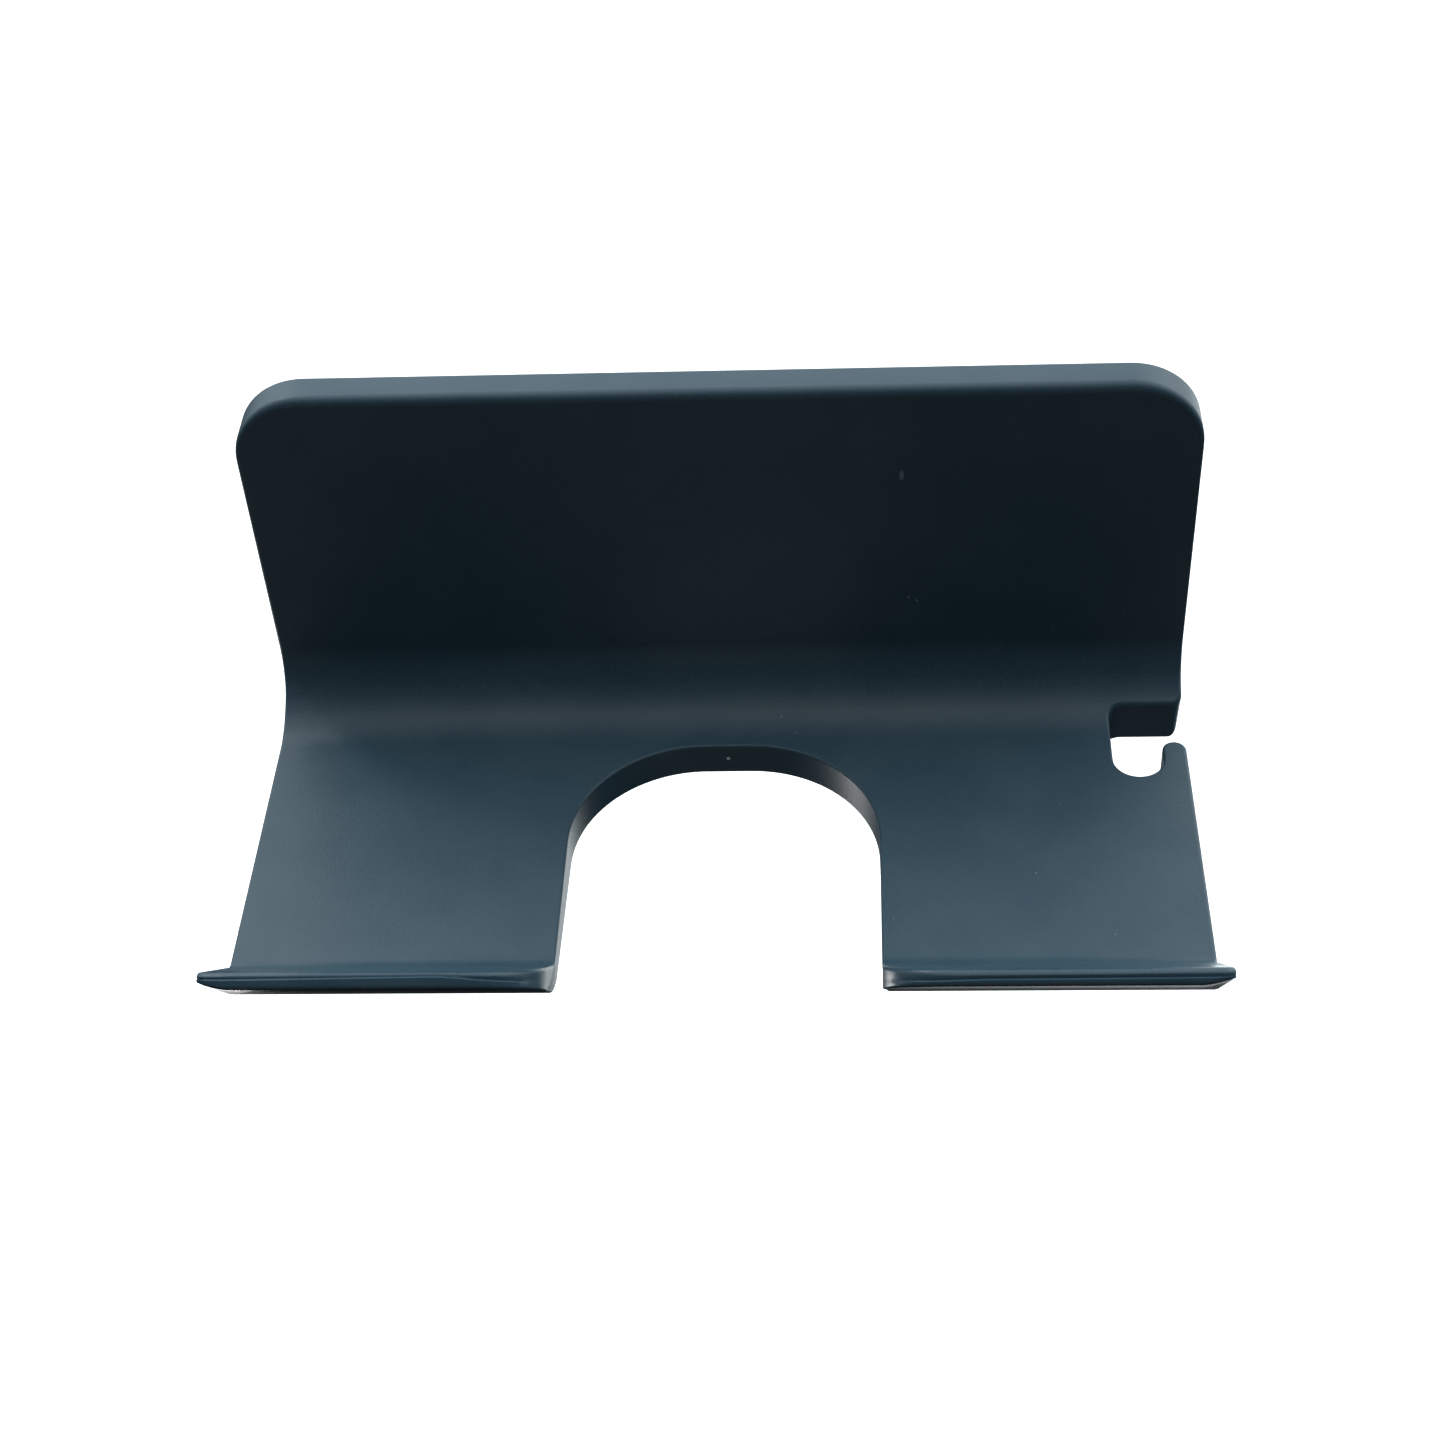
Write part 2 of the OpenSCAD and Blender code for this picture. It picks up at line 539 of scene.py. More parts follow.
    def stations(self) -> list[float]:
        """Gives the places along the blank where it is sliced so that it can bend.

        Returns:
            The places, in order.
        """
        steps = 24
        places = [self.bend_top + self.bend_radius * math.pi / 2 * n / steps for n in range(steps + 1)]
        heel_share = (self.slot_along - self.bend_top) / self._heel_run
        heel_start = self.bend_radius + self.shelf_thickness - self.heel_radius
        arc = self.heel_radius * math.pi / 2
        places += [self.bend_top + heel_share * (heel_start + arc * n / 6) for n in range(7)]
        places.append(self.slot_along)
        fine = 14
        run = self.lip_along - self.under_along
        places += [self.under_along + run * n / fine for n in range(fine + 1)]
        places.append(self.foot_along)
        kept: list[float] = []
        for place in sorted(places):
            if not kept or place - kept[-1] > 0.02 * MM:
                kept.append(place)
        return kept


# ---------------------------------------------------------------- finishes

Colour = tuple[float, float, float, float]


class Sheet:
    """Builds the nodes of one node tree."""

    def __init__(self, tree: bpy.types.NodeTree) -> None:
        """Keeps the tree."""
        self.tree = tree

    def fill(self, node: bpy.types.Node, inputs: dict) -> None:
        """Fills a node's inputs.

        Args:
            node: The node.
            inputs: Values or output sockets for its inputs, by name or number.
        """
        for key, value in inputs.items():
            if isinstance(value, bpy.types.NodeSocket):
                self.tree.links.new(value, node.inputs[key])
            else:
                node.inputs[key].default_value = value

    def add(self, kind: str, inputs: dict | None = None, **settings: object) -> bpy.types.Node:
        """Adds a node, sets its properties and fills its inputs.

        Args:
            kind: Blender's name of the node's type.
            inputs: Values or output sockets for its inputs, by name or number.
            **settings: The node's own properties.

        Returns:
            The new node.
        """
        node = self.tree.nodes.new(kind)
        for name, value in settings.items():
            setattr(node, name, value)
        self.fill(node, inputs or {})
        return node

    def math(self, operation: str, a: object, b: object = 0.0, clamp: bool = False) -> bpy.types.NodeSocket:
        """Adds a Math node and returns its result."""
        return self.add("ShaderNodeMath", {0: a, 1: b}, operation=operation, use_clamp=clamp).outputs[0]

    def map(self, value: object, low: float, high: float, to_low: float = 0.0, to_high: float = 1.0,
            smooth: bool = True) -> bpy.types.NodeSocket:
        """Adds a Map Range node and returns its result."""
        kind = "SMOOTHSTEP" if smooth else "LINEAR"
        inputs = {"Value": value, "From Min": low, "From Max": high, "To Min": to_low, "To Max": to_high}
        return self.add("ShaderNodeMapRange", inputs, interpolation_type=kind).outputs[0]

    def mix(self, share: object, a: object, b: object) -> bpy.types.NodeSocket:
        """Adds a colour Mix node and returns its result."""
        return self.add("ShaderNodeMix", {0: share, 6: a, 7: b}, data_type="RGBA").outputs[2]

    def mix_values(self, share: object, a: object, b: object) -> bpy.types.NodeSocket:
        """Adds a Mix node for plain values and returns its result."""
        return self.add("ShaderNodeMix", {0: share, 2: a, 3: b}, data_type="FLOAT").outputs[0]

    def noise(self, place: object, scale: float, detail: float = 2.0) -> bpy.types.NodeSocket:
        """Adds a Noise Texture and returns its value."""
        inputs = {"Vector": place, "Scale": scale, "Detail": detail}
        return self.add("ShaderNodeTexNoise", inputs).outputs["Fac"]


class Finish(Sheet):
    """The nodes of one new material, with its shader and the socket that gives the surface's place."""

    def __init__(self, name: str) -> None:
        """Starts the material.

        Args:
            name: The material's name.
        """
        self.material = bpy.data.materials.new(name)
        self.material.use_nodes = True
        super().__init__(self.material.node_tree)
        self.shader = self.tree.nodes["Principled BSDF"]
        self.place = self.add("ShaderNodeTexCoord").outputs["Object"]

    def grain(self, group: bpy.types.NodeTree, scale: float) -> bpy.types.Node:
        """Adds the surface grain at a scale and returns its node."""
        return self.add("ShaderNodeGroup", {"Place": self.place, "Scale": scale}, node_tree=group)

    def bump(self, height: bpy.types.NodeSocket, strength: float, depth: float) -> bpy.types.NodeSocket:
        """Adds a Bump node and returns its normal."""
        inputs = {"Strength": strength, "Distance": depth, "Height": height}
        return self.add("ShaderNodeBump", inputs).outputs["Normal"]

    def done(self, **inputs: object) -> bpy.types.Material:
        """Fills the shader's inputs and returns the material.

        Args:
            **inputs: Values or output sockets by the input's name, with _ for a space.

        Returns:
            The finished material.
        """
        self.fill(self.shader, {name.replace("_", " "): value for name, value in inputs.items()})
        return self.material


def grain_group() -> bpy.types.NodeTree:
    """Builds the fine surface grain that every moulded or foamed surface has.

    Returns:
        The group, which takes a place and the grain's scale and gives its height and broad blotches.
    """
    tree = bpy.data.node_groups.new("surface_grain", "ShaderNodeTree")
    tree.interface.new_socket("Place", in_out="INPUT", socket_type="NodeSocketVector")
    tree.interface.new_socket("Scale", in_out="INPUT", socket_type="NodeSocketFloat")
    tree.interface.new_socket("Height", in_out="OUTPUT", socket_type="NodeSocketFloat")
    tree.interface.new_socket("Blotch", in_out="OUTPUT", socket_type="NodeSocketFloat")
    sheet = Sheet(tree)
    given = sheet.add("NodeGroupInput")
    spread = {"Vector": given.outputs["Place"], "Scale": given.outputs["Scale"]}
    fine = sheet.add("ShaderNodeTexNoise", {**spread, "Detail": 3.0, "Roughness": 0.6})
    cells = sheet.add("ShaderNodeTexVoronoi", spread, feature="SMOOTH_F1")
    cell_share = 0.45
    blotch_scale = 70.0
    pits = sheet.math("MULTIPLY", cells.outputs["Distance"], cell_share)
    height = sheet.math("ADD", fine.outputs["Fac"], pits)
    blotch = sheet.noise(given.outputs["Place"], blotch_scale, 3.0)
    sheet.add("NodeGroupOutput", {"Height": height, "Blotch": blotch})
    return tree


@dataclass(frozen=True)
class Mark:
    """A small pale mark on a surface: a gate mark or a scuff."""

    place: Vector
    reach: tuple[float, float, float]
    tone: Colour
    core: float = 0.6

    def lay(self, finish: Finish, base: bpy.types.NodeSocket) -> bpy.types.NodeSocket:
        """Adds the mark to a material's colour.

        Args:
            finish: The material's nodes.
            base: The colour so far.

        Returns:
            The colour with the mark on it.
        """
        kind = "ShaderNodeVectorMath"
        away = finish.add(kind, {0: finish.place, 1: self.place}, operation="SUBTRACT").outputs[0]
        scaled = finish.add(kind, {0: away, 1: self.reach}, operation="DIVIDE").outputs[0]
        length = finish.add(kind, {0: scaled}, operation="LENGTH").outputs["Value"]
        return finish.mix(finish.map(length, self.core, 1.0, 1.0, 0.0), base, self.tone)


@dataclass(frozen=True)
class MouldedPlastic:
    """Matte moulded plastic in dark slate blue-grey, with a fine spark-eroded grain and a few pale specks."""

    grain: bpy.types.NodeTree
    marks: tuple[Mark, ...]
    deep: Colour = (0.028, 0.062, 0.090, 1.0)
    pale: Colour = (0.041, 0.077, 0.105, 1.0)
    speck: Colour = (0.17, 0.22, 0.25, 1.0)
    grain_scale: float = 2600.0
    grain_span: tuple[float, float] = (0.45, 0.90)
    blotch_span: tuple[float, float] = (0.35, 0.65)
    speck_scale: float = 420.0
    speck_reach: tuple[float, float] = (0.04, 0.07)
    speck_rarity: tuple[float, float] = (0.93, 0.97)
    rough_low: float = 0.37
    rough_high: float = 0.46
    rough_worn: float = 0.27
    worn_from: float = 78.0 * MM
    worn_to: float = 84.0 * MM
    bump_strength: float = 0.6
    bump_depth: float = 0.05 * MM
    gloss: float = 0.35
    refraction: float = 1.49

    def make(self) -> bpy.types.Material:
        """Builds the material.

        Returns:
            The material, under its slot's name.
        """
        finish = Finish(Slot.PLASTIC.value + "_finish")
        grain = finish.grain(self.grain, self.grain_scale)
        height = grain.outputs["Height"]
        # colour: soft blotches and grain, then sparse specks, then the marks
        blotch = finish.map(grain.outputs["Blotch"], *self.blotch_span, 0.0, 0.5)
        share = finish.math("ADD", blotch, finish.map(height, *self.grain_span, 0.0, 0.5))
        base = finish.mix(share, self.deep, self.pale)
        cells = finish.add("ShaderNodeTexVoronoi", {"Vector": finish.place, "Scale": self.speck_scale})
        near = finish.map(cells.outputs["Distance"], *self.speck_reach, 1.0, 0.0)
        chosen = finish.add("ShaderNodeSeparateColor", {"Color": cells.outputs["Color"]}).outputs[0]
        specks = finish.math("MULTIPLY", near, finish.map(chosen, *self.speck_rarity))
        colour = finish.mix(specks, base, self.speck)
        for mark in self.marks:
            colour = mark.lay(finish, colour)
        # roughness follows the grain, and the lips' rims are a little smoother
        rough = finish.map(height, *self.grain_span, self.rough_low, self.rough_high, smooth=False)
        reach = finish.add("ShaderNodeSeparateXYZ", {"Vector": finish.place}).outputs["Y"]
        worn = finish.map(reach, -self.worn_from, -self.worn_to)
        rough = finish.mix_values(worn, rough, self.rough_worn)
        normal = finish.bump(height, self.bump_strength, self.bump_depth)
        return finish.done(Base_Color=colour, Roughness=rough, Normal=normal, IOR=self.refraction,
                           Specular_IOR_Level=self.gloss)


@dataclass(frozen=True)
class FoamTape:
    """White closed-cell foam between two tacky satin films of adhesive."""

    grain: bpy.types.NodeTree
    shade: Colour = (0.66, 0.64, 0.58, 1.0)
    light: Colour = (0.82, 0.81, 0.77, 1.0)
    cell_scale: float = 1800.0
    cell_span: tuple[float, float] = (0.4, 0.9)
    film_span: tuple[float, float] = (0.5, 0.9)
    streak_span: tuple[float, float] = (0.3, 0.7)
    film_rough: tuple[float, float] = (0.30, 0.42)
    foam_rough: float = 0.85
    bump_strength: float = 0.5
    bump_depth: float = 0.06 * MM

    def make(self) -> bpy.types.Material:
        """Builds the material.

        Returns:
            The material, under its slot's name.
        """
        finish = Finish(Slot.FOAM.value + "_finish")
        grain = finish.grain(self.grain, self.cell_scale)
        height = grain.outputs["Height"]
        colour = finish.mix(finish.map(height, *self.cell_span), self.shade, self.light)
        # the two faces carry a satin film, and the edges are bare foam
        normal = finish.add("ShaderNodeNewGeometry").outputs["Normal"]
        facing = finish.add("ShaderNodeSeparateXYZ", {"Vector": normal}).outputs["Y"]
        face = finish.map(finish.math("ABSOLUTE", facing), *self.film_span)
        streak = finish.map(grain.outputs["Blotch"], *self.streak_span, *self.film_rough)
        rough = finish.mix_values(face, self.foam_rough, streak)
        bumped = finish.bump(height, self.bump_strength, self.bump_depth)
        return finish.done(Base_Color=colour, Roughness=rough, Normal=bumped)


@dataclass(frozen=True)
class FloorPaint:
    """Plain white studio floor."""

    shade: Colour = (0.93, 0.93, 0.93, 1.0)
    light: Colour = (0.95, 0.95, 0.95, 1.0)
    white: Colour = (1.0, 1.0, 1.0, 1.0)
    cloud_scale: float = 3.0
    roughness: float = 0.9
    own_light: float = 0.5

    def make(self) -> bpy.types.Material:
        """Builds the material.

        Returns:
            The material.
        """
        finish = Finish("floor_paint")
        colour = finish.mix(finish.noise(finish.place, self.cloud_scale), self.shade, self.light)
        return finish.done(Base_Color=colour, Roughness=self.roughness, Specular_IOR_Level=0.0,
                           Emission_Color=self.white, Emission_Strength=self.own_light)


# ---------------------------------------------------------------- the moulding


@dataclass(frozen=True)
class Corner:
    """A round corner of the blank's outline, on which the rounding of its edges changes evenly."""

    x: float
    along: float
    radius: float
    x_way: int
    along_way: int
    upright: float
    across: float

    def blend(self, x: float, along: float) -> float | None:
        """Gives the edge's rounding at a place, if the place is on this corner.

        Args:
            x: The place's x.
            along: Its place along the blank.

        Returns:
            The rounding, from `upright` where the outline runs along the blank to `across` where it
            crosses it, or None off the corner.
        """
        run = (x - self.x) * self.x_way
        rise = (along - self.along) * self.along_way
        slack = 0.2 * MM
        if run <= 0 or rise <= 0 or abs(math.hypot(run, rise) - self.radius) > slack:
            return None
        share = math.atan2(rise, run) / (math.pi / 2)
        return self.upright + share * (self.across - self.upright)


@dataclass(frozen=True)
class LipTrim:
    """Small shapes of one lip: the ledge where the mould's halves met on its rim, and its two softened ends.

    The ledge slants a little, so its depth under the inner face changes along the lip, and it turns down
    to the outer face beside the cut-out.
    """

    side: int
    inside: float
    outside: float
    depth_inside: float
    depth_outside: float
    turn_drop: float
    turn_run: float = 15.0 * MM
    hollow_width: float = 0.45 * MM
    hollow_depth: float = 0.22 * MM
    ledge_width: float = 0.24 * MM
    ledge_rise: float = 0.24 * MM
    outer_chamfer: float = 0.2 * MM
    end_run: float = 5.0 * MM
    end_drop: float = 1.3 * MM
    heel_pull: float = 1.2 * MM
    heel_reach: float = 5.0 * MM
    end_slices: int = 4
    deepest_share: float = 0.9

    @property
    def _slant(self) -> float:
        """How fast the ledge's depth changes along most of the lip."""
        return (self.depth_outside - self.depth_inside) / (self.outside - self.inside)

    @property
    def _turn(self) -> float:
        """Distance from the holder's middle at which the ledge starts to turn down."""
        return self.inside + self.turn_run

    def depth(self, x: float) -> float:
        """Gives the ledge's depth under the lip's inner face.

        Args:
            x: The place's x.

        Returns:
            The depth at which the ledge begins.
        """
        turned = max(self._turn - abs(x), 0.0) / self.turn_run
        return self.depth_inside + (abs(x) - self.inside) * self._slant + self.turn_drop * turned

    def slice(self, edit: Editing, start: float) -> None:
        """Slices the lip along its ledge, near its outer end and where the ledge turns.

        Args:
            edit: Edit mode on the flat blank.
            start: Place along the blank where the lip's inner face begins.
        """
        step = self.end_run / self.end_slices
        uprights = [self.outside - step * number for number in range(1, self.end_slices + 1)]
        for x in (*uprights, self._turn):
            self._select(edit, start, 0.0, self.outside)
            bpy.ops.mesh.bisect(plane_co=(self.side * x, 0, 0), plane_no=(1, 0, 0))
        for extra in (-self.hollow_width, 0.0, self.ledge_width):
            for low, high in ((0.0, self._turn), (self._turn, self.outside)):
                self._select(edit, start, low, high)
                first = max(low, self.inside)
                slant = (self.depth(high) - self.depth(first)) / (high - first)
                bpy.ops.mesh.bisect(plane_co=(self.side * high, 0, -self.depth(high) - extra),
                                    plane_no=(self.side * slant, 0, 1))

    def _select(self, edit: Editing, start: float, low: float, high: float) -> None:
        """Selects the lip's own faces between two distances from the holder's middle."""
        edit.faces(lambda centre: -centre.y > start and low < centre.x * self.side < high + MM)

    def press(self, place: Vector, section: Section) -> Vector:
        """Moves a point of the flat blank to give the lip its ledge and its soft ends.

        Args:
            place: The point, on the blank.
            section: The holder's profile.

        Returns:
            The point's new place on the blank.
        """
        x, along, depth = place.x, -place.y, -place.z
        thick = section.thickness(min(along, section.length))
        line = self.depth(x)
        near_heel = 1 - abs(along - section.lip_along) / self.heel_reach
        if near_heel > 0 and abs(x) < self.inside + self.heel_pull:
            x += self.side * self.heel_pull * near_heel * (depth / thick) ** 2
        up = (along - section.lip_along) / (section.length - section.lip_along)
        into = 1 - (line - depth) / self.hollow_width
        if up <= 0 or into <= 0 or line > self.deepest_share * thick:
            return Vector((x, place.y, place.z))
        if depth <= line + NEAR:
            return Vector((x, -along + self.hollow_depth * min(into, 1.0) * up ** 2, -depth))
        over = min((depth - line) / self.ledge_width, 1.0)
        out = max(abs(x) - self.outside + self.end_run, 0.0) / self.end_run
        drop = self.end_drop * out ** 1.5 * min(up, 1.0)
        below = (depth - line) / (thick - line)
        rise = over * (self.hollow_depth + self.ledge_rise) - self.hollow_depth
        rise -= self.outer_chamfer * below ** 1.5
        return Vector((x, -along - rise * up ** 2, -line - below * (thick - line - drop)))


@dataclass
class HolderBody:
    """The one-piece moulding: plate, shelf with its cut-out and cord slot, and two lips.

    It is cut out flat, gets its edges rounded flat, and is then formed to its profile.
    """

    section: Section = field(default_factory=Section)
    plate_corner: float = 12.5 * MM
    cutout_width: float = 53.0 * MM
    cutout_back: float = 13.3 * MM
    cutout_radius: float = 22.6 * MM
    lip_side_radius: float = 2.0 * MM
    lip_inner_radius: float = 12.0 * MM
    pocket_width: float = 8.7 * MM
    pocket_front: float = 21.6 * MM
    finger_width: float = 4.2 * MM
    mouth_width: float = 7.4 * MM
    pocket_corner: float = 2.2 * MM
    tip_radius: float = 2.0 * MM
    recess_depth: float = 0.5 * MM
    recess_gap: float = 0.3 * MM
    recess_corner: float = 3.3 * MM
    top_edge: float = 1.7 * MM
    side_edge: float = 0.6 * MM
    rim_edge: float = 1.2 * MM
    opening_edge: float = 0.45 * MM
    slot_edge: float = 0.5 * MM
    under_share: float = 0.6
    spare: float = 5.0 * MM

    def __post_init__(self) -> None:
        """Reads the body's box from the frame."""
        self.low, self.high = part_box("holder_body")
        self.half = self.high.x

    @property
    def corner(self) -> Vector:
        """Place, in the part's own frame, from which the profile is measured."""
        back = self.high.y - self.section.plate_thickness
        return Vector((0.0, back, self.high.z - self.section.plate_rise))

    def marks(self) -> tuple[Mark, ...]:
        """Gives the gate mark in the cut-out's apex and the scuffs on the plate's front.

        Returns:
            The marks.
        """
        gate = Mark(self.corner + Vector((0.0, -self.cutout_back, -3.1 * MM)), (0.45 * MM,) * 3,
                    (0.72, 0.76, 0.78, 1.0))
        nick = Mark(self.corner + Vector((30.7 * MM, 0.0, 49.3 * MM)), (0.5 * MM, 0.5 * MM, 1.3 * MM),
                    (0.15, 0.21, 0.23, 1.0))
        first_dot = Mark(self.corner + Vector((32.0 * MM, 0.0, 22.6 * MM)), (0.35 * MM,) * 3,
                         (0.13, 0.19, 0.21, 1.0))
        second_dot = Mark(self.corner + Vector((33.4 * MM, 0.0, 21.8 * MM)), (0.35 * MM,) * 3,
                          (0.13, 0.19, 0.21, 1.0))
        return (gate, nick, first_dot, second_dot)

    def build(self) -> bpy.types.Object:
        """Builds the moulding.

        Returns:
            The finished piece, without its material.
        """
        body = self._blank()
        self._cut_dryer_opening(body)
        self._cut_cord_slot(body)
        self._round_edges(body)
        self._slice(body, self.section.stations())
        self._trim_lips(body)
        self._form(body)
        self._cut_recesses(body)
        smooth_over(body)
        return body

    def _blank(self) -> bpy.types.Object:
        """Makes the flat blank, with its outer corners round and its lips' taper.

        Returns:
            The blank; y runs back along it and its top face is at z = 0.
        """
        section = self.section
        low = Vector((-self.half, -section.length, -section.shelf_thickness))
        blank = add_block("moulding", low, Vector((self.half, 0.0, 0.0)))
        with Editing(blank) as edit:
            edit.slice_across((-section.under_along, -section.lip_along))
            for place in (section.lip_along, section.length):
                edit.points(lambda p: p.z < -MM and abs(p.y + place) < NEAR)
                rise = section.shelf_thickness - section.thickness(place)
                bpy.ops.transform.translate(value=(0, 0, rise))
            edit.uprights((-self.half, 0.0), (self.half, 0.0))
            edit.round_selected(self.plate_corner, segments=20)
            edit.uprights((-self.half, -section.length), (self.half, -section.length))
            edit.round_selected(self.lip_side_radius, segments=10)
        return blank

    def _cut_dryer_opening(self, body: bpy.types.Object) -> None:
        """Cuts the U-shaped opening and rounds the lips' corners beside it.

        Args:
            body: The blank.
        """
        section = self.section
        half = self.cutout_width / 2
        apex = -section.along_of(self.cutout_back)
        low = Vector((-half, -section.length - self.spare, -section.shelf_thickness - self.spare))
        cutter = add_block("opening_cutter", low, Vector((half, apex, self.spare)))
        with Editing(cutter) as edit:
            edit.uprights((-half, apex), (half, apex))
            edit.round_selected(self.cutout_radius, segments=32)
        cut_away(body, cutter)
        with Editing(body) as edit:
            edit.uprights((-half, -section.length), (half, -section.length))
            edit.round_selected(self.lip_inner_radius, segments=20)

    def _cut_cord_slot(self, body: bpy.types.Object) -> None:
        """Cuts the cord's pocket and its mouth, and rounds the finger's tip and the corner behind the mouth.

        Args:
            body: The blank.
        """
        section = self.section
        rear = -section.slot_along
        front = -section.along_of(self.pocket_front)
        tip = -section.along_of(section.slot_rear + self.mouth_width)
        right = self.half - self.finger_width
        left = right - self.pocket_width
        floor = -section.shelf_thickness - self.spare
        pocket = add_block("pocket_cutter", Vector((left, front, floor)), Vector((right, rear, self.spare)))
        with Editing(pocket) as edit:
            edit.uprights((left, front), (right, front))
            edit.round_selected(self.pocket_width / 2 - NEAR, segments=12)
            edit.uprights((left, rear))
            edit.round_selected(self.pocket_corner, segments=8)
        cut_away(body, pocket)
        mouth = add_block("mouth_cutter", Vector((right - self.spare / 2, tip, floor)),
                          Vector((self.half + self.spare, rear, self.spare)))
        cut_away(body, mouth)
        with Editing(body) as edit:
            edit.uprights((right, tip), (self.half, tip), (self.half, rear))
            edit.round_selected(self.tip_radius, segments=8)

    def _slice(self, body: bpy.types.Object, places: list[float]) -> None:
        """Slices the blank across.

        Args:
            body: The blank.
            places: Where, along the blank.
        """
        with Editing(body) as edit:
            edit.slice_across([-place for place in places])
            edit.everything()
            bpy.ops.mesh.remove_doubles(threshold=0.004 * MM)

    def _corners(self) -> list["Corner"]:
        """Gives the outline's corners on which the rounding of its edges changes.

        Returns:
            The corners, for both sides of the blank.
        """
        section = self.section
        rim = section.length
        side = self.half
        opening = self.cutout_width / 2
        rear = section.slot_along
        tip = section.along_of(section.slot_rear + self.mouth_width)
        corners = [
            Corner(side - self.plate_corner, self.plate_corner, self.plate_corner, 1, -1,
                   self.side_edge, self.top_edge),
            Corner(side - self.lip_side_radius, rim - self.lip_side_radius, self.lip_side_radius, 1, 1,
                   self.side_edge, self.rim_edge),
            Corner(opening + self.lip_inner_radius, rim - self.lip_inner_radius, self.lip_inner_radius, -1, 1,
                   self.opening_edge, self.rim_edge),
        ]
        corners += [Corner(-c.x, c.along, c.radius, -c.x_way, c.along_way, c.upright, c.across)
                    for c in corners]
        corners.append(Corner(side - self.tip_radius, rear - self.tip_radius, self.tip_radius, 1, 1,
                              self.side_edge, self.slot_edge))
        corners.append(Corner(side - self.tip_radius, tip + self.tip_radius, self.tip_radius, 1, -1,
                              self.side_edge, self.slot_edge))
        return corners

    def _edge_radius(self, x: float, along: float) -> float:
        """Gives the rounding of the top face's edge at a place on the outline.

        Args:
            x: The place's x.
            along: Its place along the blank.

        Returns:
            The edge's radius.
        """
        for corner in self._corners():
            radius = corner.blend(x, along)
            if radius is not None:
                return radius
        section = self.section
        if along < NEAR:
            return self.top_edge
        if along > section.length - NEAR:
            return self.rim_edge
        if abs(x) > self.half - NEAR:
            return self.side_edge
        if abs(x) < self.cutout_width / 2 + NEAR:
            return self.opening_edge
        return self.slot_edge

    def _round_edges(self, body: bpy.types.Object) -> None:
        """Rounds every edge of the outline, above and below, by its own radius.

        Args:
            body: The blank.
        """
        widest = 2.0 * MM
        level = 0.7
        mesh = body.data
        work = bmesh.new()
        work.from_mesh(mesh)
        work.normal_update()
        weight = work.edges.layers.float.get("bevel_weight_edge")
        if weight is None:
            weight = work.edges.layers.float.new("bevel_weight_edge")
        for edge in work.edges:
            if len(edge.link_faces) != 2:
                continue
            flat = [abs(face.normal.z) > level for face in edge.link_faces]
            if flat[0] == flat[1]:
                continue
            middle = (edge.verts[0].co + edge.verts[1].co) / 2
            radius = self._edge_radius(middle.x, -middle.y)
            if middle.z < -MM:
                radius *= self.under_share
            edge[weight] = radius / widest
        work.to_mesh(mesh)
        work.free()
        apply_modifier(body, "BEVEL", limit_method="WEIGHT", width=widest, segments=5, profile=0.5,
                       offset_type="OFFSET", use_clamp_overlap=False, loop_slide=True)

    def _trim_lips(self, body: bpy.types.Object) -> None:
        """Gives both lips their ledge and their soft ends.

        Args:
            body: The flat, sliced blank.
        """
        opening = self.cutout_width / 2
        trims = (LipTrim(-1, opening, self.half, 0.55 * MM, 1.15 * MM, 1.5 * MM),
                 LipTrim(1, opening, self.half, 1.70 * MM, 1.45 * MM, 0.4 * MM))
        for trim in trims:
            with Editing(body) as edit:
                trim.slice(edit, self.section.lip_along)
            for vertex in body.data.vertices:
                if vertex.co.x * trim.side > 0:
                    vertex.co = trim.press(vertex.co, self.section)
        body.data.update()

    def _form(self, body: bpy.types.Object) -> None:
        """Forms the flat blank to its profile, in the part's own frame.

        Args:
            body: The flat, sliced blank.
        """
        for vertex in body.data.vertices:
            y, z = self.section.form(-vertex.co.y, -vertex.co.z)
            vertex.co = self.corner + Vector((vertex.co.x, y, z))
        body.data.update()
        with Editing(body) as edit:
            edit.everything()
            bpy.ops.mesh.remove_doubles(threshold=0.001 * MM)
            bpy.ops.mesh.normals_make_consistent(inside=False)

    def _cut_recesses(self, body: bpy.types.Object) -> None:
        """Sinks the shallow recesses that place the strips of tape in the plate's back.

        Args:
            body: The formed moulding.
        """
        for name in TAPE_NAMES:
            low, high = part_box(name)
            low = Vector((low.x - self.recess_gap, self.high.y - self.recess_depth, low.z - self.recess_gap))
            high = Vector((high.x + self.recess_gap, self.high.y + self.spare, high.z + self.recess_gap))
            cutter = add_block("recess_cutter", low, high)
            with Editing(cutter) as edit:
                edit.edges(runs_back)
                edit.round_selected(self.recess_corner, segments=8)
            cut_away(body, cutter)


# ---------------------------------------------------------------- the tape

TAPE_NAMES = ("left_tape", "centre_tape", "right_tape")


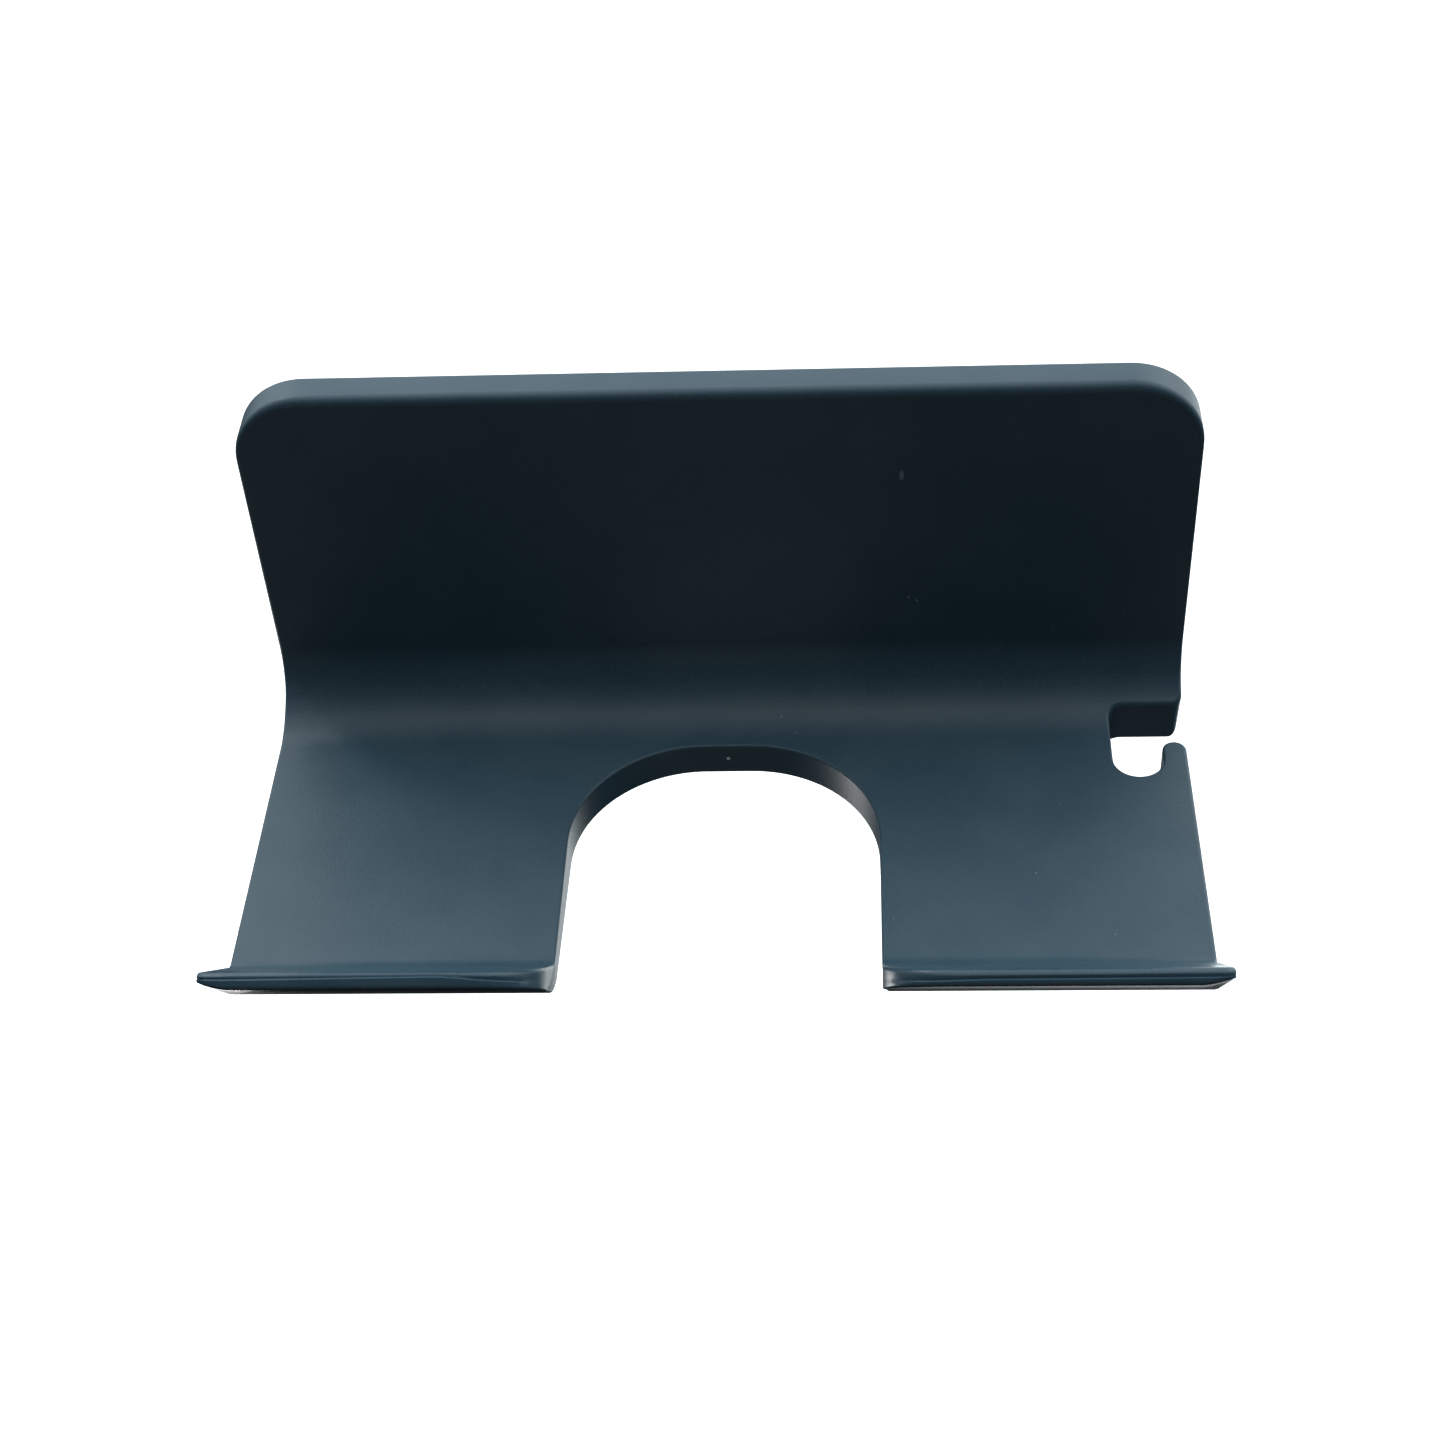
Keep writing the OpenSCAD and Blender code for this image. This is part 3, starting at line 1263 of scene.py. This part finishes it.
@dataclass
class TapeStrip:
    """One strip of double-sided tape: a foam core between two films of adhesive."""

    node: str
    corner: float = 3.0 * MM
    film: float = 0.12 * MM
    sink: float = 0.15 * MM

    def build(self) -> bpy.types.Object:
        """Builds the strip in the space of its node.

        Returns:
            The finished piece, without its material.
        """
        low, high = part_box(self.node)
        strip = add_block(self.node + "_foam", low, high)
        with Editing(strip) as edit:
            edit.edges(runs_back)
            edit.round_selected(self.corner, segments=8)
            depths = [self.film, self.film + self.sink, (high.y - low.y) / 2]
            levels = [low.y + d for d in depths] + [high.y - d for d in depths[:2]]
            edit.slice_across(levels)
            inner = low.y + self.film + self.sink / 2
            outer = high.y - self.film - self.sink / 2
            edit.points(lambda p: inner < p.y < outer)
            middle = (low + high) / 2
            across = 1 - 2 * self.sink / (high.x - low.x)
            upright = 1 - 2 * self.sink / (high.z - low.z)
            bpy.ops.transform.resize(value=(across, 1, upright), center_override=middle)
        smooth_over(strip)
        return strip


# ---------------------------------------------------------------- the stage


@dataclass(frozen=True)
class Glow:
    """A broad soft patch of bright surroundings."""

    towards: tuple[float, float, float]
    edge: float
    core: float
    strength: float


@dataclass(frozen=True)
class Lamp:
    """A soft square lamp that the camera doesn't see."""

    name: str
    place: Vector
    aim: Vector
    size: float
    radiance: float

    def make(self) -> bpy.types.Object:
        """Adds the lamp.

        Returns:
            The lamp.
        """
        data = bpy.data.lights.new(self.name, "AREA")
        data.size = self.size
        data.energy = self.radiance * math.pi * self.size ** 2
        lamp = bpy.data.objects.new(self.name, data)
        bpy.context.scene.collection.objects.link(lamp)
        lamp.location = self.place
        lamp.rotation_mode = "QUATERNION"
        lamp.rotation_quaternion = (self.aim - self.place).to_track_quat("-Z", "Y")
        lamp.visible_camera = False
        return lamp


@dataclass(frozen=True)
class Studio:
    """Camera, floor and soft light."""

    lens: float = 61.35
    sensor: float = 36.0
    eye: Vector = Vector((0.02399, -0.32999, 0.27309))
    yaw: float = -0.0794
    pitch: float = -0.7641934
    roll: float = -0.0662672
    floor_drop: float = 0.45
    floor_side: float = 40.0
    floor_slab: float = 0.01
    light_colour: Colour = (0.92, 0.985, 1.0, 1.0)
    glows: tuple[Glow, ...] = (
        Glow((0.10, 0.55, 0.82), 0.10, 0.95, 1.75),
        Glow((0.275, 0.79, -0.545), 0.85, 1.00, 2.5),
        Glow((0.00, -0.85, -0.53), 0.70, 1.00, 0.22),
        Glow((0.82, 0.46, 0.34), 0.65, 1.00, 1.2),
        Glow((-0.82, 0.46, 0.34), 0.65, 1.00, 0.9),
    )
    lamps: tuple[Lamp, ...] = (
        Lamp("low_left_lamp", Vector((-0.17, 0.01, -0.17)), Vector((-0.05, -0.08, -0.03)), 0.08, 9.0),
        Lamp("rim_lamp", Vector((-0.20, 0.11, 0.25)), Vector((-0.07, -0.085, -0.015)), 0.04, 26.0),
    )

    def camera(self) -> bpy.types.Object:
        """Places the camera and makes it the scene's own.

        Returns:
            The camera.
        """
        data = bpy.data.cameras.new("camera")
        data.lens = self.lens
        data.sensor_width = self.sensor
        data.clip_start = 0.01
        data.clip_end = 100.0
        camera = bpy.data.objects.new("camera", data)
        bpy.context.scene.collection.objects.link(camera)
        ahead = Vector((math.sin(self.yaw) * math.cos(self.pitch), math.cos(self.yaw) * math.cos(self.pitch),
                        math.sin(self.pitch)))
        level = Vector((math.cos(self.yaw), -math.sin(self.yaw), 0.0))
        above = level.cross(ahead)
        right = math.cos(self.roll) * level + math.sin(self.roll) * above
        up = right.cross(ahead)
        turned = Matrix((right, up, -ahead)).transposed().to_4x4()
        turned.translation = self.eye
        camera.matrix_world = turned
        bpy.context.scene.camera = camera
        return camera

    def floor(self) -> bpy.types.Object:
        """Lays the pale floor well below the holder, which hangs on its wall.

        Returns:
            The floor.
        """
        side = self.floor_side / 2
        top = CAD_LOW.z - self.floor_drop
        floor = add_block("floor", Vector((-side, -side, top - self.floor_slab)), Vector((side, side, top)))
        floor.data.materials.append(FloorPaint().make())
        floor.visible_diffuse = False
        floor.visible_glossy = False
        return floor

    def light(self) -> None:
        """Sets the soft light, which comes from above, behind and the left and leaves the front in shade."""
        scene = bpy.context.scene
        scene.view_settings.view_transform = "Standard"
        world = bpy.data.worlds.new("studio")
        scene.world = world
        world.use_nodes = True
        sheet = Sheet(world.node_tree)
        shade = world.node_tree.nodes["Background"]
        towards = sheet.add("ShaderNodeTexCoord").outputs["Generated"]
        strength = 0.0
        for glow in self.glows:
            axis = Vector(glow.towards).normalized()
            facing = sheet.add("ShaderNodeVectorMath", {0: towards, 1: axis}, operation="DOT_PRODUCT")
            share = sheet.map(facing.outputs["Value"], glow.edge, glow.core, 0.0, glow.strength)
            strength = sheet.math("ADD", strength, share)
        sheet.fill(shade, {"Color": self.light_colour, "Strength": strength})
        plain = sheet.add("ShaderNodeBackground", {"Color": (1.0, 1.0, 1.0, 1.0), "Strength": 1.0})
        seen = sheet.add("ShaderNodeLightPath").outputs["Is Camera Ray"]
        both = sheet.add("ShaderNodeMixShader", {0: seen, 1: shade.outputs[0], 2: plain.outputs[0]})
        sheet.fill(world.node_tree.nodes["World Output"], {"Surface": both.outputs[0]})
        for lamp in self.lamps:
            lamp.make()


def dress(piece: bpy.types.Object, material: bpy.types.Material, node: str) -> None:
    """Gives a piece its material and says which node it stands for.

    Args:
        piece: The finished piece.
        material: Its material.
        node: The CAD node that it replaces.
    """
    piece.data.materials.clear()
    piece.data.materials.append(material)
    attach(piece, "root")
    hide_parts(node)
    LOG.info("%s: %d faces, stands for %s", piece.name, len(piece.data.polygons), node)


def main() -> None:
    """Builds the stage and every piece."""
    studio = Studio()
    studio.camera()
    studio.floor()
    studio.light()
    grain = grain_group()
    holder = HolderBody()
    plastic = MouldedPlastic(grain, holder.marks()).make()
    foam = FoamTape(grain).make()
    dress(holder.build(), plastic, "holder_body")
    for node in TAPE_NAMES:
        dress(TapeStrip(node).build(), foam, node)


if __name__ == "__main__":
    main()
